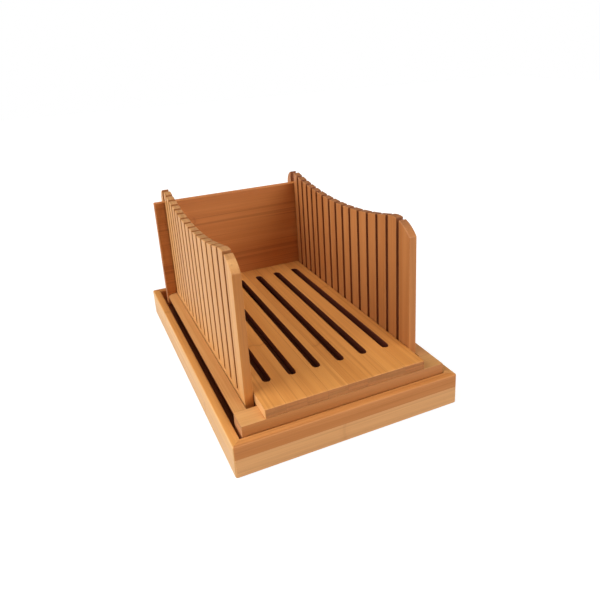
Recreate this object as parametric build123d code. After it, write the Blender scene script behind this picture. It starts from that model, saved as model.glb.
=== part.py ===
from build123d import *
from math import sqrt
import os

# Bread slicer guide in laminated bamboo: two comb guides and a back board stand in a slotted
# base, and the base stands in a shallow crumb tray. Millimetres, +Z up, front towards -Y.
# The origin is the centre of the tray's footprint, on the table.

# ---------------------------------------------------------------- driving dimensions

# Crumb tray: four mitred walls, each of two strips glued edge to edge, round a thin floor.
TRAY_WIDTH = 230.0
TRAY_HEIGHT = 32.8
TRAY_WALL = 9.0
TRAY_GLUE_LINE = 18.6
TRAY_EDGE_ROUND = 1.2
FLOOR_THICK = 5.0
FLOOR_LIFT = 4.0
FLOOR_GROOVE = 4.0
FLOOR_PLAY = 0.25

# How the base lies in the tray.
GAP_LEFT = 2.9
GAP_RIGHT = 0.9
GAP_FRONT = 1.1
GAP_REAR = 1.2

# Base: bars and rails under a raised centre board.
DECK_HEIGHT = 33.4
BOARD_THICK = 9.7
CHANNEL_DEPTH = 13.8
FRONT_BAR_DEPTH = 23.0
REAR_BAR_DEPTH = 29.5
RAIL_WALL = 12.0
RAIL_END_ROUND = 10.5
COVE_RADIUS = 9.0
COVE_LIP = 2.0
INNER_RAIL = 8.3
CLEAT_DEPTH = 16.0
CLEAT_HEIGHT = 16.0

# Crumb slots through the centre board.
CRUMB_SLOTS = 6
CRUMB_SLOT_WIDTH = 7.7
CRUMB_SLOT_FRONT = 41.0
CRUMB_SLOT_REAR = 25.0
CRUMB_SLOT_SIDE = 17.9

# Dowels that hold the rails to the two bars.
DOWEL_DIAMETER = 6.0
DOWEL_LENGTH = 30.0
DOWEL_PLAY = 0.05
DOWEL_END_PLAY = 0.5
DOWEL_EDGE = 5.5
DOWEL_IN_RAIL = 12.0

# Comb guides: a solid foot strip, teeth between the knife slots, a wide slot for the back
# board, and a last finger. The slots are spaced for thick, medium and thin slices.
GUIDE_THICK = 8.5
CHANNEL_PLAY = 0.7
GUIDE_FRONT_GAP = 5.6
FRONT_POST = 19.1
KNIFE_SLOT = 4.6
THICK_SLICE = 20.2
MEDIUM_SLICE = 17.7
THIN_SLICE = 14.8
THICK_SLICES = 5
MEDIUM_SLICES = 5
THIN_SLICES = 4
LAST_TOOTH = 10.2
REAR_FINGER = 12.9
FOOT_STRIP = 18.0

# Top of the guides: a long shallow hollow between two rounded crests. Its lowest point lies
# a little behind the middle between them.
HOLLOW_HEIGHT = 138.9
HOLLOW_RADIUS = 565.0
HOLLOW_SHIFT = 8.0
FRONT_CREST_RADIUS = 38.0
FRONT_CREST_INSET = 29.5
REAR_CREST_RADIUS = 18.0

# Back board, which crosses both guides at their wide slots.
PANEL_THICK = 8.0
PANEL_HEIGHT = 137.1
PANEL_FRONT_GAP = 2.5
PANEL_PLAY = 0.4
NOTCH_PLAY = 0.4

# ---------------------------------------------------------------- places worked out from them

# Lengthways positions are distances behind the base's front face until the tray is known.
guide_front = FRONT_BAR_DEPTH + GUIDE_FRONT_GAP
slices = [THICK_SLICE] * THICK_SLICES + [MEDIUM_SLICE] * MEDIUM_SLICES + [THIN_SLICE] * THIN_SLICES
first_slot = guide_front + FRONT_POST + KNIFE_SLOT / 2
knife_slots = [first_slot + sum(slices[:count]) for count in range(len(slices) + 1)]
wide_slot_front = knife_slots[-1] + KNIFE_SLOT / 2 + LAST_TOOTH
panel_front = wide_slot_front + PANEL_FRONT_GAP
panel_rear = panel_front + PANEL_THICK
wide_slot_rear = panel_rear + PANEL_PLAY
guide_rear = wide_slot_rear + REAR_FINGER
deck_rear = panel_front - PANEL_PLAY
rear_bar_front = panel_rear + PANEL_PLAY
base_length = rear_bar_front + REAR_BAR_DEPTH

tray_length = base_length + GAP_FRONT + GAP_REAR + 2 * TRAY_WALL
base_y = -tray_length / 2 + TRAY_WALL + GAP_FRONT
base_x = (GAP_LEFT - GAP_RIGHT) / 2
base_half = (TRAY_WIDTH - 2 * TRAY_WALL - GAP_LEFT - GAP_RIGHT) / 2

# Sideways positions, from the middle of the base.
channel_outer = base_half - RAIL_WALL
guide_outer = channel_outer - CHANNEL_PLAY
guide_inner = guide_outer - GUIDE_THICK
channel_inner = guide_inner - CHANNEL_PLAY
rail_inner = channel_inner - INNER_RAIL
rail_outer = base_half - COVE_RADIUS

# Heights above the table.
floor_top = FLOOR_LIFT + FLOOR_THICK
deck_top = floor_top + DECK_HEIGHT
channel_floor = deck_top - CHANNEL_DEPTH
board_top = deck_top + BOARD_THICK
slot_bottom = channel_floor + FOOT_STRIP
panel_top = channel_floor + PANEL_HEIGHT
hollow_bottom = channel_floor + HOLLOW_HEIGHT


# ---------------------------------------------------------------- helpers


def block(x0, x1, y0, y1, z0, z1):
    """A box between two corners, in the part's own frame."""
    centre = Location(((x0 + x1) / 2, (y0 + y1) / 2, (z0 + z1) / 2))
    return centre * Box(x1 - x0, y1 - y0, z1 - z0)


def base_block(u0, u1, v0, v1, z0, z1):
    """A box placed by the base: u from its middle, v back from its front face."""
    return block(base_x + u0, base_x + u1, base_y + v0, base_y + v1, z0, z1)


def mirrored(shape):
    """The same shape on the other side of the base's middle plane."""
    return mirror(shape, about=Plane.YZ.offset(base_x))


def rod(start, direction, radius, length):
    """A round rod from a point along a direction."""
    return extrude(Plane(origin=start, z_dir=direction) * Circle(radius), amount=length)


def save(shape, name):
    """One STEP file for each sub-part, named after it."""
    shape.label = name
    export_step(shape, f"parts/{name}.step")


# ---------------------------------------------------------------- crumb tray


def tray_walls():
    """The frame of walls, cut at its four mitres and along its glue line."""
    half_w, half_l = TRAY_WIDTH / 2, tray_length / 2
    outer = fillet(block(-half_w, half_w, -half_l, half_l, 0, TRAY_HEIGHT).edges(), TRAY_EDGE_ROUND)
    in_w, in_l = half_w - TRAY_WALL, half_l - TRAY_WALL
    ring = outer - block(-in_w, in_w, -in_l, in_l, 0, TRAY_HEIGHT)
    groove_w, groove_l = in_w + FLOOR_GROOVE, in_l + FLOOR_GROOVE
    ring -= block(-groove_w, groove_w, -groove_l, groove_l, FLOOR_LIFT, floor_top + FLOOR_PLAY)
    sides = {
        "front": [(-half_w, -half_l), (half_w, -half_l), (in_w, -in_l), (-in_w, -in_l)],
        "rear": [(-half_w, half_l), (half_w, half_l), (in_w, in_l), (-in_w, in_l)],
        "left": [(-half_w, -half_l), (-half_w, half_l), (-in_w, in_l), (-in_w, -in_l)],
        "right": [(half_w, -half_l), (half_w, half_l), (in_w, in_l), (in_w, -in_l)],
    }
    strips = {"lower": (0, TRAY_GLUE_LINE), "upper": (TRAY_GLUE_LINE, TRAY_HEIGHT)}
    walls = {}
    for side, corners in sides.items():
        for strip, (bottom, top) in strips.items():
            mitre = Plane.XY.offset(bottom) * make_face(Polyline(*corners, close=True))
            walls[f"tray_{side}_{strip}"] = ring & extrude(mitre, amount=top - bottom)
    return walls


def tray_floor():
    """The thin floor, held in a groove round the walls."""
    half_w = TRAY_WIDTH / 2 - TRAY_WALL + FLOOR_GROOVE - FLOOR_PLAY
    half_l = tray_length / 2 - TRAY_WALL + FLOOR_GROOVE - FLOOR_PLAY
    return block(-half_w, half_w, -half_l, half_l, FLOOR_LIFT, floor_top)


# ---------------------------------------------------------------- base


def front_dowels(radius, end_play):
    """Two dowels on each side, along Y, across the joint of rail and front bar."""
    height = (floor_top + channel_floor) / 2
    start = base_y + FRONT_BAR_DEPTH - DOWEL_LENGTH / 2 - end_play
    length = DOWEL_LENGTH + 2 * end_play
    places = [rail_inner + DOWEL_EDGE, rail_outer - DOWEL_EDGE]
    return [
        rod((base_x + side * place, start, height), (0, 1, 0), radius, length)
        for side in (-1, 1)
        for place in places
    ]


def rear_dowels(radius, end_play):
    """Two dowels on each side, along X, across the joint of rail and rear bar."""
    height = (floor_top + channel_floor) / 2
    length = DOWEL_LENGTH + 2 * end_play
    reach = rail_inner + DOWEL_IN_RAIL + end_play
    inset = DOWEL_EDGE + DOWEL_DIAMETER / 2
    places = [rear_bar_front + inset, base_length - inset]
    return [
        rod((base_x + side * reach, base_y + place, height), (-side, 0, 0), radius, length)
        for side in (-1, 1)
        for place in places
    ]


def front_bar():
    """The full-height bar across the front, which both rails butt against."""
    bar = base_block(-base_half, base_half, 0, FRONT_BAR_DEPTH, floor_top, deck_top)
    return bar - front_dowels(DOWEL_DIAMETER / 2 + DOWEL_PLAY, DOWEL_END_PLAY)


def rear_bar():
    """The bar between the rails, just behind the back board."""
    bar = base_block(-rail_inner, rail_inner, rear_bar_front, base_length, floor_top, deck_top)
    return bar - rear_dowels(DOWEL_DIAMETER / 2 + DOWEL_PLAY, DOWEL_END_PLAY)


def right_rail():
    """An L-section rail: a foot that the guide stands on, and the channel's outer wall.

    A cove under the wall's outer edge leaves a lip, to lift the base by. The wall stops
    in front of the back board, with its outer corner rounded.
    """
    foot = base_block(rail_inner, rail_outer, FRONT_BAR_DEPTH, base_length, floor_top, channel_floor)
    wall = base_block(channel_outer, base_half, FRONT_BAR_DEPTH, deck_rear, channel_floor, deck_top)
    corner = wall.edges().filter_by(Axis.Z).sort_by(Axis.Y)[-2:].sort_by(Axis.X)[-1]
    wall = fillet(corner, min(RAIL_END_ROUND, 0.9 * RAIL_WALL))
    cove_z = deck_top - COVE_LIP - COVE_RADIUS
    start = (base_x + base_half, base_y + FRONT_BAR_DEPTH, cove_z)
    wall -= rod(start, (0, 1, 0), COVE_RADIUS, deck_rear - FRONT_BAR_DEPTH)
    wall -= base_block(rail_outer, base_half, FRONT_BAR_DEPTH, deck_rear, channel_floor, cove_z)
    holes = front_dowels(DOWEL_DIAMETER / 2 + DOWEL_PLAY, DOWEL_END_PLAY)
    holes += rear_dowels(DOWEL_DIAMETER / 2 + DOWEL_PLAY, DOWEL_END_PLAY)
    return foot + wall - holes


def right_inner_rail():
    """The strip on the rail's foot that closes the channel and carries the centre board."""
    return base_block(rail_inner, channel_inner, FRONT_BAR_DEPTH, deck_rear, channel_floor, deck_top)


def rear_cleat():
    """The batten under the centre board's rear end, glued between the rails."""
    front = deck_rear - CLEAT_DEPTH
    return base_block(-rail_inner, rail_inner, front, deck_rear, deck_top - CLEAT_HEIGHT, deck_top)


def crumb_slot_places():
    """Middle of each crumb slot, evenly spread between the two outer ones."""
    reach = channel_inner - CRUMB_SLOT_SIDE
    return [-reach + 2 * reach * index / (CRUMB_SLOTS - 1) for index in range(CRUMB_SLOTS)]


def centre_board():
    """The raised board that the loaf lies on, slotted lengthways for the crumbs."""
    board = base_block(-channel_inner, channel_inner, 0, deck_rear, deck_top, board_top)
    length = deck_rear - CRUMB_SLOT_REAR - CRUMB_SLOT_FRONT
    middle = CRUMB_SLOT_FRONT + length / 2
    outline = SlotOverall(length, CRUMB_SLOT_WIDTH, rotation=90)
    for place in crumb_slot_places():
        seat = Plane.XY.offset(deck_top) * Location((base_x + place, base_y + middle))
        board -= extrude(seat * outline, amount=BOARD_THICK)
    return board


# ---------------------------------------------------------------- guides and back board


def guide_outline():
    """The guide's side view: straight foot and ends, two crest arcs and the hollow's arc.

    Each crest's centre lies one hollow radius plus one crest radius from the hollow's
    centre, so that the arcs run into each other without a corner.
    """
    front_v = guide_front + FRONT_CREST_INSET
    rear_v = guide_rear - REAR_CREST_RADIUS
    hollow_v = (front_v + rear_v) / 2 + HOLLOW_SHIFT
    hollow_z = hollow_bottom + HOLLOW_RADIUS

    def crest(centre_v, radius):
        reach = HOLLOW_RADIUS + radius
        centre_z = hollow_z - sqrt(reach**2 - (centre_v - hollow_v) ** 2)
        share = radius / reach
        joint = (centre_v + (hollow_v - centre_v) * share, centre_z + (hollow_z - centre_z) * share)
        return centre_z, joint

    front_z, front_joint = crest(front_v, FRONT_CREST_RADIUS)
    rear_z, rear_joint = crest(rear_v, REAR_CREST_RADIUS)
    front_end = (guide_front, front_z + sqrt(FRONT_CREST_RADIUS**2 - FRONT_CREST_INSET**2))
    rear_end = (guide_rear, rear_z)
    foot = [front_end, (guide_front, channel_floor), (guide_rear, channel_floor), rear_end]
    return make_face(
        [
            Polyline(*foot),
            ThreePointArc(rear_end, (rear_v, rear_z + REAR_CREST_RADIUS), rear_joint),
            ThreePointArc(rear_joint, (hollow_v, hollow_bottom), front_joint),
            ThreePointArc(front_joint, (front_v, front_z + FRONT_CREST_RADIUS), front_end),
        ]
    )


def right_guide():
    """One comb guide: the outline at the guide's thickness, sawn down from the top."""
    side = Plane(origin=(base_x + guide_inner, base_y, 0), x_dir=(0, 1, 0), z_dir=(1, 0, 0))
    guide = extrude(side * guide_outline(), amount=GUIDE_THICK)
    top = guide.bounding_box().max.Z
    cuts = [(place - KNIFE_SLOT / 2, place + KNIFE_SLOT / 2) for place in knife_slots]
    cuts.append((wide_slot_front, wide_slot_rear))
    for front, rear in cuts:
        guide -= base_block(guide_inner, guide_outer, front, rear, slot_bottom, top)
    return guide


def back_panel():
    """The back board, notched from below to straddle both guides' foot strips."""
    panel = base_block(-base_half, base_half, panel_front, panel_rear, channel_floor, panel_top)
    notch_top = slot_bottom + NOTCH_PLAY
    notch = base_block(
        guide_inner - NOTCH_PLAY, guide_outer + NOTCH_PLAY, panel_front, panel_rear, channel_floor, notch_top
    )
    return panel - notch - mirrored(notch)


# ---------------------------------------------------------------- the sub-parts

os.makedirs("parts", exist_ok=True)

for name, wall in tray_walls().items():
    save(wall, name)
save(tray_floor(), "tray_floor")

save(front_bar(), "base_front_bar")
save(rear_bar(), "base_rear_bar")
save(rear_cleat(), "base_rear_cleat")
save(centre_board(), "centre_board")
save(Compound(children=front_dowels(DOWEL_DIAMETER / 2, 0)), "base_front_dowels")
save(Compound(children=rear_dowels(DOWEL_DIAMETER / 2, 0)), "base_rear_dowels")

pairs = {"base_{}_rail": right_rail(), "base_{}_inner_rail": right_inner_rail(), "{}_guide": right_guide()}
for name, right in pairs.items():
    save(right, name.format("right"))
    save(mirrored(right), name.format("left"))
save(back_panel(), "back_panel")
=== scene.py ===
# %% [markdown]
# # A bread slicer guide in laminated bamboo
#
# The object is a kitchen helper: two comb guides stand upright in channels along a base, and a
# knife dropped through a pair of their slots cuts an even slice. A back board stops the loaf,
# and the base lies in a shallow tray that catches the crumbs. The shapes come from a CAD model
# that is loaded first and never moved. Blender adds what the CAD leaves out: eased edges,
# rounded mouldings, and the grain, strips and glue lines of the bamboo.

# %% Load the frame
import math

import bmesh
import bpy
import numpy as np
from mathutils import Matrix, Vector


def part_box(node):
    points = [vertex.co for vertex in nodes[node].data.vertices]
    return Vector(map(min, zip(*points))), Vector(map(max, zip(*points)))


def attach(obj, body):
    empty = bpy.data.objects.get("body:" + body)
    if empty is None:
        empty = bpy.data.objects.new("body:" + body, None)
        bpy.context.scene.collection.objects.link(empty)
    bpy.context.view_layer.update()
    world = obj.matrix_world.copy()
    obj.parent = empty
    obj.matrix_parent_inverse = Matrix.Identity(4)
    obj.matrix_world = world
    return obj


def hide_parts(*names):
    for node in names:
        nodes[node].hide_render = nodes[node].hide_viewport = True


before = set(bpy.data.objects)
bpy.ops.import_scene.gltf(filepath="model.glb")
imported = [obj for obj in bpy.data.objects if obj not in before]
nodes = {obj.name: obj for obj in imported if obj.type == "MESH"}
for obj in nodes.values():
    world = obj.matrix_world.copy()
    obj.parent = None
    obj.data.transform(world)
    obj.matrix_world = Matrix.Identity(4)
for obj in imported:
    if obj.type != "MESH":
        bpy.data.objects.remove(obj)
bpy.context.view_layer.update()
MM = 0.001


# %% [markdown]
# ## The camera
#
# A camera can be placed by its position and the directions of its picture: right and up. This
# one stands to the left of the tray's front and looks down into it. The lens is moderately
# long, and a small shift frames the object without tilting the view.

# %% Camera
CAMERA_PLACE = np.array([-205.72, -585.52, 352.16]) * MM
PICTURE_RIGHT = np.array([0.90386, -0.42540, -0.04539])
PICTURE_UP = np.array([0.18326, 0.28911, 0.93959])
SENSOR_WIDTH, FOCAL_LENGTH = 36.0, 34.991
SHIFT_RIGHT, SHIFT_UP = -0.03443, -0.08929

lens = bpy.data.cameras.new("camera")
lens.sensor_width, lens.lens = SENSOR_WIDTH, FOCAL_LENGTH
lens.shift_x, lens.shift_y = SHIFT_RIGHT, SHIFT_UP
camera = bpy.data.objects.new("camera", lens)
bpy.context.scene.collection.objects.link(camera)
turn = np.eye(4)
turn[:3, 0] = PICTURE_RIGHT
turn[:3, 1] = PICTURE_UP
turn[:3, 2] = np.cross(PICTURE_RIGHT, PICTURE_UP)
turn[:3, 3] = CAMERA_PLACE
camera.matrix_world = Matrix(turn.tolist())
bpy.context.scene.camera = camera
print("camera looks along", np.round(-turn[:3, 2], 3))

# %% [markdown]
# ## Studio light
#
# Three lamps stand far away, as large soft boxes do in a studio: a strong one low on the left,
# a weaker one overhead and one in front. A sun lamp is the simplest far lamp, because its
# light has the same strength everywhere. Its angle is how wide the soft box looks, and so how
# soft its shadow is. A sun of strength pi lights a white card that faces it to exactly white,
# so each lamp's strength is written as a share of pi. Each row of the list gives a lamp's
# direction, its spread in degrees and that share.

# %% Lamps
def lamp(name, towards, spread, level):
    """A distant lamp in a direction, spread over an angle, as bright as level times white."""
    data = bpy.data.lights.new(name, "SUN")
    data.angle = math.radians(spread)
    data.energy = level * math.pi
    piece = bpy.data.objects.new(name, data)
    bpy.context.scene.collection.objects.link(piece)
    piece.rotation_euler = Vector(towards).to_track_quat("Z", "Y").to_euler()
    return piece


lamps = [
    lamp("key_lamp", (-0.86, 0.12, 0.49), 54, 0.98),
    lamp("top_lamp", (0.0, -0.10, 1.0), 50, 0.30),
    lamp("front_lamp", (0.45, -0.80, 0.35), 40, 0.52),
]
print(len(lamps), "lamps")

# %% [markdown]
# ## Sky and floor
#
# The sky is white to the camera but sends only a faint light, so that it fills the shadows
# without washing them out. The floor should look white too, and still show the object's soft
# shadow. A floor bright enough to look white would throw too much light up at the object. So
# the Light Path node splits it: rays from the camera, or off a gloss, see a floor with a glow
# added to its lit colour, and the rays that carry light see a plain grey floor.

# %% Shader nodes
def empty_nodes(block):
    """The node tree of a material or a world, switched on and cleared."""
    block.use_nodes = True
    block.node_tree.nodes.clear()
    return block.node_tree


def add_node(tree, kind, inputs=None, **settings):
    """One shader node: settings are its own fields, inputs are numbers or other nodes' sockets."""
    node = tree.nodes.new("ShaderNode" + kind)
    for key, value in settings.items():
        setattr(node, key, value)
    for key, value in (inputs or {}).items():
        if isinstance(value, bpy.types.NodeSocket):
            tree.links.new(value, node.inputs[key])
        else:
            node.inputs[key].default_value = value
    return node


def calc(tree, operation, a, b=0.0, c=0.0):
    """One arithmetic step between sockets or numbers."""
    return add_node(tree, "Math", {0: a, 1: b, 2: c}, operation=operation).outputs[0]


print("node helpers ready")


# %% Sky
WHITE = (1, 1, 1, 1)
SKY_TONE, SKY_FILL = (1.0, 0.97, 0.93, 1), 0.09

sky = bpy.data.worlds.new("sky")
bpy.context.scene.world = sky
tree = empty_nodes(sky)
faint = add_node(tree, "Background", {"Color": SKY_TONE, "Strength": SKY_FILL})
white = add_node(tree, "Background", {"Color": WHITE, "Strength": 1.0})
from_camera = add_node(tree, "LightPath").outputs["Is Camera Ray"]
either = add_node(tree, "MixShader", {0: from_camera, 1: faint.outputs[0], 2: white.outputs[0]})
add_node(tree, "OutputWorld", {"Surface": either.outputs[0]})
print("a white sky that lights with a strength of", SKY_FILL)

# %% Floor
FLOOR_SEEN, FLOOR_GLOW = (0.36, 0.36, 0.36, 1), 0.80
FLOOR_GREY = (0.30, 0.29, 0.28, 1)
FLOOR_REACH, FLOOR_DROP = 3.0, 0.0002

floor_paint = bpy.data.materials.new("studio_floor")
tree = empty_nodes(floor_paint)
path = add_node(tree, "LightPath").outputs
in_picture = calc(tree, "ADD", path["Is Camera Ray"], path["Is Glossy Ray"])
in_picture = calc(tree, "MINIMUM", in_picture, 1.0)
lit = add_node(tree, "BsdfDiffuse", {"Color": FLOOR_SEEN})
glow = add_node(tree, "Emission", {"Color": WHITE, "Strength": FLOOR_GLOW})
seen = add_node(tree, "AddShader", {0: lit.outputs[0], 1: glow.outputs[0]})
grey = add_node(tree, "BsdfDiffuse", {"Color": FLOOR_GREY})
either = add_node(tree, "MixShader", {0: in_picture, 1: grey.outputs[0], 2: seen.outputs[0]})
add_node(tree, "OutputMaterial", {"Surface": either.outputs[0]})

square = ((-1, -1), (1, -1), (1, 1), (-1, 1))
corners = [(x * FLOOR_REACH, y * FLOOR_REACH, -FLOOR_DROP) for x, y in square]
floor_mesh = bpy.data.meshes.new("studio_floor")
floor_mesh.from_pydata(corners, [], [(0, 1, 2, 3)])
floor_mesh.materials.append(floor_paint)
studio_floor = bpy.data.objects.new("studio_floor", floor_mesh)
bpy.context.scene.collection.objects.link(studio_floor)
bpy.context.scene.view_settings.view_transform = "Standard"
print("floor of", 2 * FLOOR_REACH, "by", 2 * FLOOR_REACH, "m")

# %% [markdown]
# ## Laminated bamboo
#
# The boards are glued up from bamboo strips. Each strip comes from another place in a cane, so
# its tone and its streaks start somewhere else, and a thin glue line parts it from the next.
# Now and then a strip crosses a node of the cane, a darker band a few millimetres wide. The
# strip is full of fibre bundles: along the grain they show as fine lines, and on the end
# grain, which also soaks up more oil and turns greyer, as dots in flat layers.
#
# A picture could be wrapped round each board, but then the sides, slots and end grain would
# not agree. A solid pattern in object coordinates does: it is worked out from where a point
# lies in the wood, so every cut shows the grain that is really there.

# %% Small shader helpers
AXES = {"X": 0, "Y": 1, "Z": 2}


def ramp(tree, value, low, high, start=0.0, end=1.0):
    """Start below low, end above high, and a smooth step in between."""
    inputs = {"Value": value, "From Min": low, "From Max": high, "To Min": start, "To Max": end}
    return add_node(tree, "MapRange", inputs, interpolation_type="SMOOTHSTEP").outputs[0]


def blend(tree, share, first, second, way="MIX"):
    """A colour between two: share 0 is the first, 1 the second, or their product."""
    node = add_node(tree, "Mix", data_type="RGBA", blend_type=way)
    for index, value in ((0, share), (6, first), (7, second)):
        if isinstance(value, bpy.types.NodeSocket):
            tree.links.new(value, node.inputs[index])
        else:
            node.inputs[index].default_value = value
    return node.outputs[2]


def stretched(tree, parts, scales):
    """A point of the wood, with each of its three directions scaled by itself."""
    scaled = [calc(tree, "MULTIPLY", part, scale) for part, scale in zip(parts, scales)]
    return add_node(tree, "CombineXYZ", dict(enumerate(scaled))).outputs[0]


def from_middle(tree, turns, period):
    """Distance from the nearest half turn of a repeating pattern: |fract(turns) - 1/2| * period."""
    off = calc(tree, "SUBTRACT", calc(tree, "FRACT", turns), 0.5)
    return calc(tree, "MULTIPLY", calc(tree, "ABSOLUTE", off), period)


def tinted(colour, share):
    """A colour with each of its three parts multiplied by its own share."""
    return tuple(part * times for part, times in zip(colour, share))


print("shader helpers ready")

# %% [markdown]
# ## Noise along the grain
#
# Wood stays much the same for a hand's length along the grain, and changes within a millimetre
# across it. So a point is scaled in each direction by itself before a noise is read there. The
# numbers below are how often each noise turns in a metre: along the grain, across the strips
# and through the board. A crest of the noise for the dark lines is one brown line.

# %% Noise along the grain
BROAD_TONE = (3.5, 110, 110)
FINE_TONE = (12, 620, 620)
DARK_LINES = (3.0, 330, 330)
FIBRE_BUNDLES = (6, 1500, 1500)
NODE_WAVER = (2, 90, 90)
FLAT_LAYERS = (2, 12, 420)
NOISE_ROUGHNESS = 0.55
CREST = (0.56, 0.70)
BUNDLE_EDGE = (0.12, 0.38)


def streaks(tree, wood, turns, detail=1.0):
    """Cloudy noise drawn out along the grain, mostly between 0.3 and 0.7."""
    inputs = {"Vector": stretched(tree, wood, turns), "Scale": 1.0}
    inputs |= {"Detail": detail, "Roughness": NOISE_ROUGHNESS}
    return add_node(tree, "TexNoise", inputs).outputs[0]


def bundles(tree, wood):
    """1 in the middle of each fibre bundle and 0 at its edge: the bundles are long thin cells."""
    inputs = {"Vector": stretched(tree, wood, FIBRE_BUNDLES), "Scale": 1.0}
    cells = add_node(tree, "TexVoronoi", inputs)
    return ramp(tree, cells.outputs["Distance"], *BUNDLE_EDGE, 1.0, 0.0)


print("fibre bundles about", round(1 / MM / FIBRE_BUNDLES[1], 2), "mm thick")

# %% [markdown]
# ## Strips, nodes and glue lines
#
# The place across the board, counted in strip widths, is the lane. Its whole part is the
# strip's number, and a White Noise node turns that number into three lots: how far along its
# cane the strip was cut, how pale it is, and where its nodes fall. Nodes repeat along the cane
# and waver a little. A glue line lies where the lane passes a whole number. All widths here
# are in metres, as a shader sees them: full strength up to the first, nothing past the second.

# %% Strips, nodes and glue lines
CUT_SPREAD, NODE_SPREAD, WAVER_HEIGHT = 3.0, 0.35, 0.010
KNOT_HALF = (0.0006, 0.0022)
SHOULDER_HALF = (0.0015, 0.0080)
GLUE_HALF = (0.00010, 0.00040)


def strip_lots(tree, lane, seed):
    """Three lots between 0 and 1 for the strip that a point lies in."""
    number = calc(tree, "FLOOR", lane)
    place = add_node(tree, "CombineXYZ", {0: number, 1: float(seed), 2: 0.5}).outputs[0]
    lot = add_node(tree, "TexWhiteNoise", {"Vector": place}, noise_dimensions="3D")
    return add_node(tree, "SeparateXYZ", {0: lot.outputs["Color"]}).outputs


def cane_nodes(tree, wood, along, lot, gap, start):
    """The dark band of each node of the cane, and the wider, fainter shoulder round it."""
    waver = calc(tree, "MULTIPLY", streaks(tree, wood, NODE_WAVER), WAVER_HEIGHT)
    turns = calc(tree, "ADD", calc(tree, "MULTIPLY_ADD", lot, NODE_SPREAD, along), waver)
    turns = calc(tree, "DIVIDE", calc(tree, "SUBTRACT", turns, start), gap)
    from_node = from_middle(tree, calc(tree, "ADD", turns, 0.5), gap)
    return [ramp(tree, from_node, *half, 1.0, 0.0) for half in (KNOT_HALF, SHOULDER_HALF)]


def glue_lines(tree, lane, strip):
    """1 on the line between two strips and 0 away from it."""
    from_glue = calc(tree, "SUBTRACT", 0.5 * strip, from_middle(tree, lane, strip))
    return ramp(tree, from_glue, *GLUE_HALF, 1.0, 0.0)


print("a glue line is about", 2 * GLUE_HALF[1] / MM, "mm wide")

# %% [markdown]
# ## The bamboo finish
#
# One function makes every finish, because all pieces come from the same stock and differ only
# in which way the grain runs, how wide the strips are, how dark the wood is and what light and
# shade is painted on their faces.
#
# - tone: the strip's lot, moved up and down by broad and fine streaks, picks a colour between
#   the deep and the pale tone of the wood
# - marks: fibre bundles, dark lines, nodes and glue lines are laid over it in a brown shade
# - faces: painted light and shade, a tint on faces that look along one axis, told by the surface's
#   direction
# - end grain: where the surface looks along the grain, with the flat layers of the board as
#   bands of lighter and darker wood
# - slot walls: where the piece has the slot attribute, the wood is darker, as painted shade
#
# The same streaks and marks also make the surface slightly rough and uneven.

# %% Bamboo finish
BROAD_SHARE, FINE_SHARE, SHOULDER_SHARE = 1.1, 0.7, -0.10
SHADE = (0.62, 0.50, 0.42)
BUNDLE_DEPTH, GLUE_DEPTH, END_DEPTH, SLOT_SHADE_DEPTH = 0.20, 0.35, 0.65, 0.95
SIDE_FACING, END_FACING = (0.55, 0.95), (0.80, 0.98)
LAYER_STEP, LAYER_TONES = (0.35, 0.65), (0.74, 1.16)
FINE_STEP, ROUGHNESS, END_ROUGHNESS = (0.3, 0.7), (0.42, 0.58), 0.15
BUNDLE_RELIEF, KNOT_RELIEF, GLUE_RELIEF = -0.5, 0.5, -0.8
BUMP = {"Strength": 0.30, "Distance": 0.0003}


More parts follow.
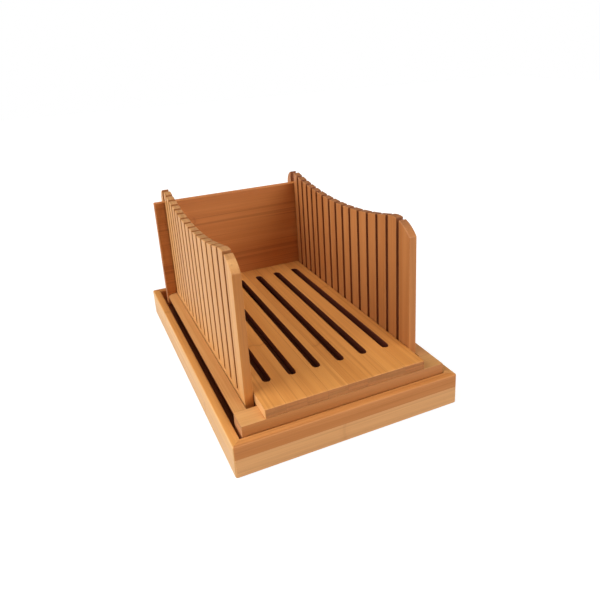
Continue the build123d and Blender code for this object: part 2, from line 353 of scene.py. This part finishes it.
def bamboo(name, grain, across, strip, pale, deep, seed, start=0.0, contrast=0.35, lines=0.35,
           node_gap=0.9, node_start=0.2, node_depth=0.25, end=(0.72, 0.76, 1.04),
           slot_shade_share=(0.67, 0.54, 0.45), painted_face_shading=(), gloss=0.5):
    """Bamboo whose grain runs along one axis, in strips of one width along another.

    End grain has the deep tone times end, and the slot walls a darker share of the deep tone,
    as painted shade. Each face tint is an axis and the tint of the faces that look along it,
    as painted light and shade.
    """
    material = bpy.data.materials.new(name)
    tree = empty_nodes(material)
    texture = add_node(tree, "TexCoord").outputs
    xyz = add_node(tree, "SeparateXYZ", {0: texture["Object"]}).outputs
    along, side = xyz[AXES[grain]], xyz[AXES[across]]
    through = xyz[3 - AXES[grain] - AXES[across]]
    lane = calc(tree, "DIVIDE", calc(tree, "SUBTRACT", side, start), strip)
    lots = strip_lots(tree, lane, seed)
    in_cane = calc(tree, "ADD", along, float(seed))
    in_cane = calc(tree, "MULTIPLY_ADD", lots[0], CUT_SPREAD, in_cane)
    wood = (in_cane, side, through)

    broad, fine = streaks(tree, wood, BROAD_TONE, 2.0), streaks(tree, wood, FINE_TONE, 2.0)
    bundle = bundles(tree, wood)
    crest = ramp(tree, streaks(tree, wood, DARK_LINES), *CREST)
    knot, shoulder = cane_nodes(tree, wood, along, lots[2], node_gap, node_start)
    glue = glue_lines(tree, lane, strip)

    tone = calc(tree, "MULTIPLY_ADD", calc(tree, "SUBTRACT", lots[1], 0.5), contrast, 0.5)
    tone = calc(tree, "MULTIPLY_ADD", calc(tree, "SUBTRACT", broad, 0.5), BROAD_SHARE, tone)
    tone = calc(tree, "MULTIPLY_ADD", calc(tree, "SUBTRACT", fine, 0.5), FINE_SHARE, tone)
    tone = calc(tree, "MULTIPLY_ADD", shoulder, SHOULDER_SHARE, tone)
    tone = add_node(tree, "Clamp", {0: tone}).outputs[0]
    colour = blend(tree, tone, (*deep, 1), (*pale, 1))
    shade = (*tinted(deep, SHADE), 1)
    marks = ((bundle, BUNDLE_DEPTH), (crest, lines), (knot, node_depth), (glue, GLUE_DEPTH))
    for share, strength in marks:
        colour = blend(tree, calc(tree, "MULTIPLY", share, strength), colour, shade)

    # The tint of faces that look along an axis is painted light and shade.
    facing = add_node(tree, "SeparateXYZ", {0: texture["Normal"]}).outputs
    for axis, tint in painted_face_shading:
        towards = ramp(tree, calc(tree, "ABSOLUTE", facing[AXES[axis]]), *SIDE_FACING)
        colour = blend(tree, towards, colour, (*tint, 1), "MULTIPLY")
    end_grain = ramp(tree, calc(tree, "ABSOLUTE", facing[AXES[grain]]), *END_FACING)
    layers = ramp(tree, streaks(tree, wood, FLAT_LAYERS), *LAYER_STEP, *LAYER_TONES)
    soaked = blend(tree, 1.0, (*tinted(deep, end), 1), layers, "MULTIPLY")
    colour = blend(tree, calc(tree, "MULTIPLY", end_grain, END_DEPTH), colour, soaked)
    # Slot walls marked by the attribute take a darker colour: painted shade inside the slots.
    painted_slot_shade = add_node(tree, "Attribute", attribute_name="painted_slot_shade").outputs["Fac"]
    painted_slot_shade = calc(tree, "MULTIPLY", painted_slot_shade, SLOT_SHADE_DEPTH)
    colour = blend(tree, painted_slot_shade, colour, (*tinted(deep, slot_shade_share), 1))

    rough = ramp(tree, fine, *FINE_STEP, *ROUGHNESS)
    rough = calc(tree, "MULTIPLY_ADD", end_grain, END_ROUGHNESS, rough)
    relief = calc(tree, "MULTIPLY_ADD", bundle, BUNDLE_RELIEF, fine)
    relief = calc(tree, "MULTIPLY_ADD", knot, KNOT_RELIEF, relief)
    relief = calc(tree, "MULTIPLY_ADD", glue, GLUE_RELIEF, relief)
    bump = add_node(tree, "Bump", {"Height": relief, **BUMP}).outputs[0]
    look = {"Base Color": colour, "Roughness": rough, "Normal": bump, "Specular IOR Level": gloss}
    skin = add_node(tree, "BsdfPrincipled", look)
    add_node(tree, "OutputMaterial", {"Surface": skin.outputs[0]})
    return material


print("bamboo finish ready")

# %% [markdown]
# ## A finish for each board
#
# A row of the table gives the grain's axis, the axis across the strips, the strips' width in
# metres, how much of the stock's tones the board has, its seed, and what else sets it apart.
# A few boards should show no node, so their first one is put a metre away. The tray's right
# wall takes a top tint of its own, less golden than the left wall's. The tray's floor and the
# rails' upright sides are painted dark, as painted shade, so that the gap round the base reads
# as one deep line. The right guide is painted darker than the left, and the right rail paler
# than the left, as painted shade and light on one bamboo.

# %% Finishes
PALE = (0.88, 0.47, 0.17)
DEEP = (0.66, 0.29, 0.08)
NO_NODES = {"node_gap": 3.0, "node_start": 1.0}
# The rails' upright sides take a dark tint: painted shade for the deep gap round the base.
RAIL = {"start": 0.005, "lines": 0.1, "painted_face_shading": [("X", (0.40, 0.23, 0.17))], "gloss": 0.10}
LONG_WALL = {"start": -0.05, "lines": 0.2}
# Each face tint in this table is painted light and shade: faces that look along one axis are made
# lighter or darker for how the light falls on them.
stock = {
    "tray_upper_cross": ("X", "Z", 0.060, (0.87, 0.71, 0.68), 11, {
        "start": -0.02, "painted_face_shading": [("Z", (0.94, 0.95, 0.82))], "gloss": 0.25, **NO_NODES}),
    "tray_upper_long": ("Y", "X", 0.100, (0.95, 1.03, 1.08), 12, {
        "painted_face_shading": [("Z", (0.90, 0.70, 0.46))], **LONG_WALL}),
    "tray_upper_right": ("Y", "X", 0.100, (0.95, 1.03, 1.08), 12, {
        "painted_face_shading": [("Z", (0.90, 0.75, 0.62))], **LONG_WALL}),
    "tray_lower_cross": ("X", "Z", 0.060, (1.03, 1.02, 1.12), 13, {
        "start": -0.02, "lines": 0.2, "node_start": 0.215, "node_depth": 0.12}),
    "tray_lower_long": ("Y", "X", 0.100, (0.93, 1.02, 1.12), 14, LONG_WALL),
    # The tray's floor is painted dark: painted shade for the gap round the base.
    "tray_floor": ("Y", "X", 0.024, (0.31, 0.17, 0.13), 15, {}),
    "bar": ("X", "Y", 0.050, (0.81, 0.78, 0.74), 16, {
        "start": -0.2, "lines": 0.1, "end": (1.0, 1.0, 1.6), "painted_face_shading": [("Y", (0.83, 0.66, 0.53))],
        **NO_NODES}),
    # Both rails are one bamboo: the left is painted darker and the right paler, as painted shade
    # and light for how the light falls on each.
    "left_rail": ("Y", "X", 0.030, (0.79, 0.80, 0.85), 17, {**RAIL, **NO_NODES}),
    "right_rail": ("Y", "X", 0.030, (0.93, 0.92, 1.10), 23, {**RAIL, **NO_NODES}),
    # The board's slot walls are painted nearly black, as painted shade in the crumb slots, and its
    # faces that look along X are painted paler, as painted light.
    "board": ("Y", "X", 0.0205, (0.90, 0.75, 0.50), 44, {
        "contrast": 0.60, "lines": 0.24, "end": (0.69, 0.64, 1.14), "slot_shade_share": (0.15, 0.04, 0.14),
        "painted_face_shading": [("X", (1.10, 1.38, 2.30))]}),
    "left_guide": ("Z", "Y", 0.045, (0.90, 0.87, 0.81), 19, {
        "lines": 0.25, "painted_face_shading": [("Y", (0.80, 0.60, 0.37))], **NO_NODES}),
    # The right guide is the left guide's bamboo painted darker, as painted shade, and its faces
    # that look along Y are lifted back up, as painted light.
    "right_guide": ("Z", "Y", 0.045, (0.59, 0.45, 0.37), 22, {
        "lines": 0.25, "painted_face_shading": [("Y", (1.35, 1.32, 1.2))], **NO_NODES}),
    "panel": ("X", "Z", 0.056, (0.79, 0.56, 0.38), 20, {"start": 0.028, "lines": 0.4}),
    "dowel": ("Y", "X", 0.050, (1.0, 1.0, 1.0), 21, {}),
}
finish = {
    name: bamboo(name, grain, across, strip, tinted(PALE, share), tinted(DEEP, share), seed, **more)
    for name, (grain, across, strip, share, seed, more) in stock.items()
}
print(len(finish), "bamboo finishes")

# %% [markdown]
# ## Carried-over parts
#
# Parts that already have the right shape stay as the CAD made them. The bars and rails only
# get eased edges: a Weld joins the loose triangles, a planar Decimate clears the flat faces,
# and a Bevel rounds what is left. The mesh underneath is not changed.

# %% Ease the edges of CAD parts
SHARP_ANGLE = math.radians(30)
FLAT_ANGLE = math.radians(0.5)
WELD_WITHIN = 0.00001


def ease(piece, width, segments=3):
    """A narrow rounding on every sharp edge, with flat faces kept flat."""
    bevel = piece.modifiers.new("eased_edges", "BEVEL")
    bevel.width = width * MM
    bevel.segments = segments
    bevel.limit_method = "ANGLE"
    bevel.angle_limit = SHARP_ANGLE
    bevel.harden_normals = True
    piece.data.shade_smooth()


def keep(name, material, width=0.0):
    """A CAD part stays, with its own finish and eased edges."""
    node = nodes[name]
    node.data.materials.clear()
    node.data.materials.append(material)
    if width:
        weld = node.modifiers.new("joined", "WELD")
        weld.merge_threshold = WELD_WITHIN
        flat = node.modifiers.new("flat_faces", "DECIMATE")
        flat.decimate_type = "DISSOLVE"
        flat.angle_limit = FLAT_ANGLE
        ease(node, width)


BAR_EDGE, CLEAT_EDGE, RAIL_EDGE = 1.3, 0.8, 0.7
keep("tray_floor", finish["tray_floor"])
for end in ("front", "rear"):
    keep(f"base_{end}_dowels", finish["dowel"])
    keep(f"base_{end}_bar", finish["bar"], BAR_EDGE)
keep("base_rear_cleat", finish["bar"], CLEAT_EDGE)
for side in ("left", "right"):
    keep(f"base_{side}_rail", finish[f"{side}_rail"], RAIL_EDGE)
    keep(f"base_{side}_inner_rail", finish[f"{side}_rail"], RAIL_EDGE)
print("eased edges of", BAR_EDGE, CLEAT_EDGE, "and", RAIL_EDGE, "mm")

# %% [markdown]
# ## From arrays to pieces
#
# New pieces are worked out as whole arrays of points in millimetres. The same few steps turn
# each into an object: merge the points that lie in one place, turn all faces outwards, and
# say which body it rides on, which finish it takes and which CAD parts it stands for.

# %% From arrays to pieces
DOUBLES_WITHIN = 0.000002


def span(name):
    """The lowest and highest corners of a CAD part, in millimetres."""
    return [np.array(corner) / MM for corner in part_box(name)]


def piece_from(name, points, faces):
    """A mesh of points in millimetres, with doubles merged and faces turned outwards."""
    mesh = bpy.data.meshes.new(name)
    mesh.from_pydata((np.reshape(points, (-1, 3)) * MM).tolist(), [], faces)
    work = bmesh.new()
    work.from_mesh(mesh)
    bmesh.ops.remove_doubles(work, verts=work.verts[:], dist=DOUBLES_WITHIN)
    bmesh.ops.recalc_face_normals(work, faces=work.faces[:])
    work.to_mesh(mesh)
    work.free()
    piece = bpy.data.objects.new(name, mesh)
    bpy.context.scene.collection.objects.link(piece)
    return piece


def fit(piece, body, slot, material, *stands_for):
    """The piece rides on its body, takes its finish, and stands for its CAD parts."""
    piece.data.materials.append(material)
    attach(piece, body)
    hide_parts(*stands_for)


def tube_faces(rows, ring):
    """Quads between neighbouring rings of a grid of points, each ring closed on itself."""
    row, place = np.meshgrid(np.arange(rows - 1), np.arange(ring), indexing="ij")
    after = (place + 1) % ring
    this, below = row * ring, (row + 1) * ring
    quads = np.stack([this + place, this + after, below + after, below + place], axis=-1)
    return quads.reshape(-1, 4).tolist()


low, high = span("centre_board")
print("centre board from", np.round(low, 1), "to", np.round(high, 1), "mm")

# %% [markdown]
# ## Tray mouldings
#
# Each tray wall is two strips, a darker one glued on a paler one. Before the corners are
# mitred, the walls are run past a cutter that rounds their edges, so a strip is a profile
# carried along the wall. Boxes with a bevel would do, but the corner of the tray is rounded
# too, and there the profile has to turn.
#
# The profile is a ring of (depth in from the outer face, height). Carrying it is a surface of
# two parameters: where a point lies on the profile, and how far along the wall it has come.

# %% Rounded profiles
def rounded(corners, radii, steps=6):
    """A ring of points round a polygon with right-angled corners, each cut by an arc.

    With unit directions a to the corner before and b to the corner after, the arc's centre is
    corner + r (a + b), and its points are centre - r (b cos t + a sin t) for t up to 90 degrees.
    """
    corners = np.array(corners, float)
    parts = []
    for place, radius in enumerate(radii):
        corner = corners[place]
        if not radius:
            parts.append(corner[None])
            continue
        before, after = corners[place - 1] - corner, corners[(place + 1) % len(corners)] - corner
        before, after = before / np.hypot(*before), after / np.hypot(*after)
        centre = corner + radius * (before + after)
        turn = np.linspace(0, math.pi / 2, steps + 1)[:, None]
        parts.append(centre - radius * (after * np.cos(turn) + before * np.sin(turn)))
    return np.concatenate(parts)


tray_low, tray_high = span("tray_front_upper")
WALL, TRAY_TOP, GLUE_LINE = tray_high[1] - tray_low[1], tray_high[2], tray_low[2]
floor_low, floor_high = span("tray_floor")
GROOVE_PLAY = 0.25
GROOVE_DEPTH = 4.0
OUTER_TOP_ROUND, INNER_TOP_ROUND = 1.6, 1.4
OUTER_FOOT_ROUND, INNER_FOOT_ROUND = 1.4, 0.8

groove_top, groove_back = floor_high[2] + GROOVE_PLAY, WALL - GROOVE_DEPTH
profiles = {
    "upper": rounded(
        [(0, GLUE_LINE), (0, TRAY_TOP), (WALL, TRAY_TOP), (WALL, GLUE_LINE)],
        [0, OUTER_TOP_ROUND, INNER_TOP_ROUND, 0]),
    "lower": rounded(
        [(0, 0), (0, GLUE_LINE), (WALL, GLUE_LINE), (WALL, groove_top), (groove_back, groove_top),
         (groove_back, floor_low[2]), (WALL, floor_low[2]), (WALL, 0)],
        [OUTER_FOOT_ROUND, 0, 0, 0, 0, 0, 0, INNER_FOOT_ROUND]),
}
print("profile points:", {name: len(ring) for name, ring in profiles.items()})


# %% Mitred mouldings
CORNER_ROUND = 2.2
CORNER_STEPS = 7
MOULDING_EDGE = 0.25


def moulding(name, profile, half_run, half_across, angle):
    """A profile carried along one tray wall from mitre to mitre, and turned to its side.

    A point at depth d follows the tray's outline moved in by d. At a corner it turns on a
    circle of radius (corner radius - d), or on the spot where d is larger, and it stops
    halfway round, on the mitre.
    """
    swing = np.radians(np.linspace(0, 45, CORNER_STEPS))
    swing = np.concatenate([-swing[::-1], swing])[:, None]
    end = np.repeat([-1.0, 1.0], CORNER_STEPS)[:, None]
    depth, height = profile[None, :, 0], profile[None, :, 1]
    radius = np.maximum(CORNER_ROUND - depth, 0)
    centre = np.maximum(CORNER_ROUND, depth)
    run = end * (half_run - centre) + radius * np.sin(swing)
    out = half_across - centre + radius * np.cos(swing)
    x = run * math.cos(angle) + out * math.sin(angle)
    y = run * math.sin(angle) - out * math.cos(angle)
    points = np.stack([x, y, np.broadcast_to(height, x.shape)], axis=-1)
    rows, ring = x.shape
    caps = [list(range(ring)), list(range((rows - 1) * ring, rows * ring))]
    return piece_from(name, points, tube_faces(rows, ring) + caps)


tray_half_w, tray_half_l = -span("tray_left_upper")[0][0], -tray_low[1]
walls = {
    "front": ("cross", tray_half_w, tray_half_l, 0),
    "right": ("long", tray_half_l, tray_half_w, 90),
    "rear": ("cross", tray_half_w, tray_half_l, 180),
    "left": ("long", tray_half_l, tray_half_w, 270),
}
for side, (way, half_run, half_across, degrees) in walls.items():
    for strip, profile in profiles.items():
        angle = math.radians(degrees)
        piece = moulding(f"{side}_{strip}_moulding", profile, half_run, half_across, angle)
        # The right wall's upper strip has a finish of its own.
        chosen = finish.get(f"tray_{strip}_{side}", finish[f"tray_{strip}_{way}"])
        fit(piece, "tray", f"tray_{strip}_strip", chosen, f"tray_{side}_{strip}")
        ease(piece, MOULDING_EDGE, 2)
print("tray:", len(walls) * len(profiles), "mouldings")

# %% [markdown]
# ## Centre board
#
# The loaf lies on a board with long crumb slots. A flat face with holes has no simple grid of
# its own, but it falls into cells, one round each slot. In a cell, a ring of points follows
# the slot and a second ring follows the cell's edge, and the faces run between them. Cells
# side by side have the same steps along their shared edge, so they join without gaps.

# %% Centre board
CRUMB_SLOTS = 6
CRUMB_SLOT_WIDTH = 7.7
CRUMB_SLOT_FRONT = 41.0
CRUMB_SLOT_REAR = 25.0
CRUMB_SLOT_SIDE = 17.9
ARC_STEPS = 16
BOARD_EDGE = 1.0
SAME_PLACE = 0.001


def board_rings(board_low, board_high):
    """Slot rings and cell rings, each (slot, step, x and y).

    At the rear end, step t from 0 to 180 degrees puts the slot's point on a half circle. The
    cell's point meanwhile goes up the cell's side for the first quarter, across its end for
    the next half and down again. The front end is the same, turned about.
    """
    middle = (board_low[0] + board_high[0]) / 2
    reach = (board_high[0] - board_low[0]) / 2 - CRUMB_SLOT_SIDE
    slot_x = middle + np.linspace(-reach, reach, CRUMB_SLOTS)
    edges = np.concatenate([[board_low[0]], (slot_x[1:] + slot_x[:-1]) / 2, [board_high[0]]])
    radius = CRUMB_SLOT_WIDTH / 2
    turn = np.linspace(0, math.pi, ARC_STEPS + 1)
    share = np.linspace(0, 4, ARC_STEPS + 1)
    up = np.clip(np.minimum(share, 4 - share), 0, 1)
    over = np.clip((3 - share) / 2, 0, 1)
    slots, cells = [], []
    ends = ((1, board_high[1] - CRUMB_SLOT_REAR - radius, board_high[1]),
            (-1, board_low[1] + CRUMB_SLOT_FRONT + radius, board_low[1]))
    for way, centre, end in ends:
        x = slot_x[:, None] + way * radius * np.cos(turn)
        y = np.broadcast_to(centre + way * radius * np.sin(turn), x.shape)
        slots.append(np.stack([x, y], axis=-1))
        right = over if way > 0 else 1 - over
        x = edges[:-1, None] + np.diff(edges)[:, None] * right
        y = np.broadcast_to(centre + (end - centre) * up, x.shape)
        cells.append(np.stack([x, y], axis=-1))
    return np.concatenate(slots, axis=1), np.concatenate(cells, axis=1)


def slotted_board(name, board_low, board_high):
    """Per slot a strip of rings: slot and cell on top, cell and slot below, slot on top again.

    Top, bottom and slot walls are kept for every cell. The wall between two cells is dropped:
    a cell's wall stays only where both its points lie on the board's own edge.
    """
    slots, cells = board_rings(board_low, board_high)
    count, ring = slots.shape[:2]
    top, bottom = board_high[2], board_low[2]
    flat = np.stack([slots, cells, cells, slots, slots], axis=1)
    height = np.array([top, top, bottom, bottom, top])[None, :, None, None]
    points = np.concatenate([flat, np.broadcast_to(height, (count, 5, ring, 1))], axis=-1)
    quads = np.array(tube_faces(5, ring)).reshape(4, ring, 4)
    after = np.roll(cells, -1, axis=1)
    rim = np.zeros((count, ring), bool)
    for axis in (0, 1):
        for edge in (board_low[axis], board_high[axis]):
            off = np.maximum(np.abs(cells[..., axis] - edge), np.abs(after[..., axis] - edge))
            rim |= off < SAME_PLACE
    faces = [quads[[0, 2, 3]].reshape(-1, 4) + 5 * ring * cell for cell in range(count)]
    faces += [quads[1][rim[cell]] + 5 * ring * cell for cell in range(count)]
    return piece_from(name, points, np.concatenate(faces).tolist())


# %% [markdown]
# ## Painted shade in the slots
#
# The walls of slots are painted darker than the faces, as painted shade for the shadow deep in
# the slots. A second material could be given to those faces, but a mark is enough: an attribute,
# 1 on the slots' faces and 0 on the rest, which the finish reads. The faces are told by where
# their middles lie and which way they look.

# %% Marks for painted slot shade
SLOT_SHADE_MARGIN = 1.0


def face_places(mesh):
    """Each face's middle in millimetres and its direction, as two arrays."""
    count = len(mesh.polygons)
    centre, normal = np.zeros(3 * count), np.zeros(3 * count)
    mesh.polygons.foreach_get("center", centre)
    mesh.polygons.foreach_get("normal", normal)
    return centre.reshape(-1, 3) / MM, normal.reshape(-1, 3)


def set_slot_shade(mesh, chosen):
    """The painted slot shade attribute: 1 on the chosen faces, 0 on the rest. Gives how many were
    chosen.
    """
    mark = mesh.attributes.new("painted_slot_shade", "FLOAT", "FACE")
    mark.data.foreach_set("value", chosen.astype(np.float32))
    return int(chosen.sum())


def mark_crumb_slots(mesh, board_low, board_high):
    """Upright faces that lie inside the board's own edges are the walls of its slots."""
    centre, normal = face_places(mesh)
    inner = centre[:, :2] > board_low[:2] + SLOT_SHADE_MARGIN
    inner &= centre[:, :2] < board_high[:2] - SLOT_SHADE_MARGIN
    return set_slot_shade(mesh, inner.all(axis=1) & (np.abs(normal[:, 2]) < 0.5))


print("sawn faces lie at least", SLOT_SHADE_MARGIN, "mm inside a board's edges")


# %% Loaf board
board = slotted_board("loaf_board", *span("centre_board"))
marked = mark_crumb_slots(board.data, *span("centre_board"))
fit(board, "base", "board_bamboo", finish["board"], "centre_board")
ease(board, BOARD_EDGE)
print("centre board:", len(board.data.polygons), "faces,", marked, "of them in crumb slots")

# %% [markdown]
# ## Plates cut from an outline
#
# The guides and the back board are flat plates with a complicated outline. Each is that
# outline carried through the plate's thickness: the same ring of points at both faces, joined
# by a wall, with the two faces closed. A Bevel then rounds every edge, as sanding does.

# %% Plate from an outline
def plate(name, outline, axis, low, high):
    """A closed ring of points repeated at two places on an axis: point = (low or high, ring)."""
    ring = np.asarray(outline, float)
    count = len(ring)
    points = np.zeros((2, count, 3))
    points[:, :, (AXES[axis] + 1) % 3] = ring[:, 0]
    points[:, :, (AXES[axis] + 2) % 3] = ring[:, 1]
    points[0, :, AXES[axis]] = low
    points[1, :, AXES[axis]] = high
    caps = [list(range(count)), list(range(count, 2 * count))]
    return piece_from(name, points, tube_faces(2, count) + caps)


def straight(*corners):
    """Corners as rows of an array."""
    return np.array(corners, float)


# %% [markdown]
# ## Comb guides
#
# A guide starts as one board with a long hollow along its top, so that the knife can be set
# down on it anywhere. Then the slots are sawn: five thick slices, five medium, four thin, and
# a wide one for the back board. The outline is worked out the same way: first the whole top
# line, then the stretch of it that each tooth keeps, and a dip to the slots' bottom between
# two teeth.

# %% Top line of a guide
guide_low, guide_high = span("right_guide")
GUIDE_FRONT, GUIDE_REAR, GUIDE_BOTTOM = guide_low[1], guide_high[1], guide_low[2]
HOLLOW_HEIGHT = 138.9
HOLLOW_RADIUS = 565.0
HOLLOW_SHIFT = 8.0
FRONT_CREST_RADIUS = 38.0
FRONT_CREST_INSET = 29.5
REAR_CREST_RADIUS = 18.0
CREST_STEPS, HOLLOW_STEPS = 40, 160


def arc(centre, radius, start, end, count):
    """Points of a circle between two angles from straight up, clockwise."""
    angle = np.linspace(start, end, count)
    x, y = centre[0] + radius * np.sin(angle), centre[1] + radius * np.cos(angle)
    return np.stack([x, y], axis=1)


def guide_top():
    """The front crest, the long hollow and the rear crest, each running into the next.

    A crest and the hollow touch where the line between their centres crosses them, so the
    crest ends, and the hollow starts, at the angle of that line.
    """
    front_y, rear_y = GUIDE_FRONT + FRONT_CREST_INSET, GUIDE_REAR - REAR_CREST_RADIUS
    hollow_y = (front_y + rear_y) / 2 + HOLLOW_SHIFT
    hollow = np.array([hollow_y, GUIDE_BOTTOM + HOLLOW_HEIGHT + HOLLOW_RADIUS])

    def crest_centre(y, radius):
        drop = math.sqrt((HOLLOW_RADIUS + radius) ** 2 - (y - hollow[0]) ** 2)
        return np.array([y, hollow[1] - drop])

    front = crest_centre(front_y, FRONT_CREST_RADIUS)
    rear = crest_centre(rear_y, REAR_CREST_RADIUS)
    front_turn, rear_turn = math.atan2(*(hollow - front)), math.atan2(*(hollow - rear))
    start = -math.asin(FRONT_CREST_INSET / FRONT_CREST_RADIUS)
    first = arc(front, FRONT_CREST_RADIUS, start, front_turn, CREST_STEPS)
    middle = arc(hollow, HOLLOW_RADIUS, front_turn + math.pi, rear_turn + math.pi, HOLLOW_STEPS)
    last = arc(rear, REAR_CREST_RADIUS, rear_turn, math.pi / 2, CREST_STEPS)
    return np.concatenate([first, middle[1:], last[1:]])


top_line = guide_top()
top_run = np.concatenate([[0], np.cumsum(np.hypot(*np.diff(top_line, axis=0).T))])
top_low, top_high = np.round([top_line[:, 1].min(), top_line[:, 1].max()], 1)
print("guide top from", top_low, "to", top_high, "mm above the table")

# %% Outline of a guide
FRONT_POST = 19.1
KNIFE_SLOT = 4.6
THICK_SLICE, MEDIUM_SLICE, THIN_SLICE = 20.2, 17.7, 14.8
LAST_TOOTH = 10.2
FOOT_STRIP = 18.0
PANEL_PLAY = 0.4
TOOTH_STEP = 2.0

panel_low, panel_high = span("back_panel")
first_slot = GUIDE_FRONT + FRONT_POST + KNIFE_SLOT / 2
slices = [THICK_SLICE] * 5 + [MEDIUM_SLICE] * 5 + [THIN_SLICE] * 4
slot_places = np.cumsum([first_slot] + slices)
slot_bottom = GUIDE_BOTTOM + FOOT_STRIP
wide_slot_front = slot_places[-1] + KNIFE_SLOT / 2 + LAST_TOOTH
wide_slot_rear = panel_high[1] + PANEL_PLAY


def tooth_top(front, rear):
    """The top line from front to rear, in even steps of its own length, at least two."""
    ends = np.interp([front, rear], top_line[:, 0], top_run)
    run = np.linspace(*ends, max(2, round((ends[1] - ends[0]) / TOOTH_STEP)) + 1)
    return np.stack([np.interp(run, top_run, part) for part in top_line.T], axis=1)


def guide_side():
    """Along the bottom to the rear, then back along the tooth tops, dipping into each slot."""
    fronts = np.concatenate([[GUIDE_FRONT], slot_places + KNIFE_SLOT / 2, [wide_slot_rear]])
    rears = np.concatenate([slot_places - KNIFE_SLOT / 2, [wide_slot_front, GUIDE_REAR]])
    parts = [straight((GUIDE_FRONT, GUIDE_BOTTOM), (GUIDE_REAR, GUIDE_BOTTOM))]
    for number in range(len(fronts) - 1, -1, -1):
        parts.append(tooth_top(fronts[number], rears[number])[::-1])
        if number:
            parts.append(straight((fronts[number], slot_bottom), (rears[number - 1], slot_bottom)))
    return np.concatenate(parts)


guide_line = guide_side()
print("guide outline:", len(guide_line), "points,", len(slot_places), "knife slots")

# %% [markdown]
# A guide's slot faces get the painted slot shade in the same way as the loaf board's. The slots'
# walls look along Y and lie between the guide's front and rear ends, and the slots' bottoms look
# up and lie at the height where the saw stopped.

# %% Comb guides
GUIDE_EDGE = 0.7
SQUARE_ON = 0.99


def mark_guide_slots(mesh):
    """Faces that look along Y inside the slots or close their bottoms get the painted slot shade.
    """
    centre, normal = face_places(mesh)
    inside = centre[:, 1] > GUIDE_FRONT + SLOT_SHADE_MARGIN
    inside &= centre[:, 1] < GUIDE_REAR - SLOT_SHADE_MARGIN
    wall = (np.abs(normal[:, 1]) > SQUARE_ON) & inside
    bottom = (normal[:, 2] > SQUARE_ON) & (np.abs(centre[:, 2] - slot_bottom) < SLOT_SHADE_MARGIN)
    return set_slot_shade(mesh, wall | bottom)


for side in ("left", "right"):
    side_low, side_high = span(f"{side}_guide")
    guide = plate(f"{side}_comb", guide_line, "X", side_low[0], side_high[0])
    marked = mark_guide_slots(guide.data)
    fit(guide, f"{side}_guide", "guide_bamboo", finish[f"{side}_guide"], f"{side}_guide")
    ease(guide, GUIDE_EDGE)
    print(guide.name, "has", marked, "sawn faces")

# %% [markdown]
# ## Back board
#
# The back board stands across both guides in their wide slots. Two notches in its lower edge
# straddle the guides' foot strips, and the ears outside them keep it from sliding sideways.
# Both halves are alike, so only one half of the outline is written down and the other is its
# mirror image, run backwards.

# %% Back board
NOTCH_PLAY = 0.4
PANEL_EDGE = 1.2
notch_near, notch_far = guide_low[0] - NOTCH_PLAY, guide_high[0] + NOTCH_PLAY
notch_top = slot_bottom + NOTCH_PLAY
half_outline = straight(
    (panel_low[2], notch_near), (notch_top, notch_near), (notch_top, notch_far),
    (panel_low[2], notch_far), (panel_low[2], panel_high[0]), (panel_high[2], panel_high[0]),
)
panel_middle = (panel_low[0] + panel_high[0]) / 2
other_half = half_outline[::-1] * (1, -1) + (0, 2 * panel_middle)
outline = np.concatenate([half_outline, other_half])
stop_board = plate("stop_board", outline, "Y", panel_low[1], panel_high[1])
fit(stop_board, "back_panel", "panel_bamboo", finish["panel"], "back_panel")
ease(stop_board, PANEL_EDGE)
print("back board:", len(outline), "points in its outline")
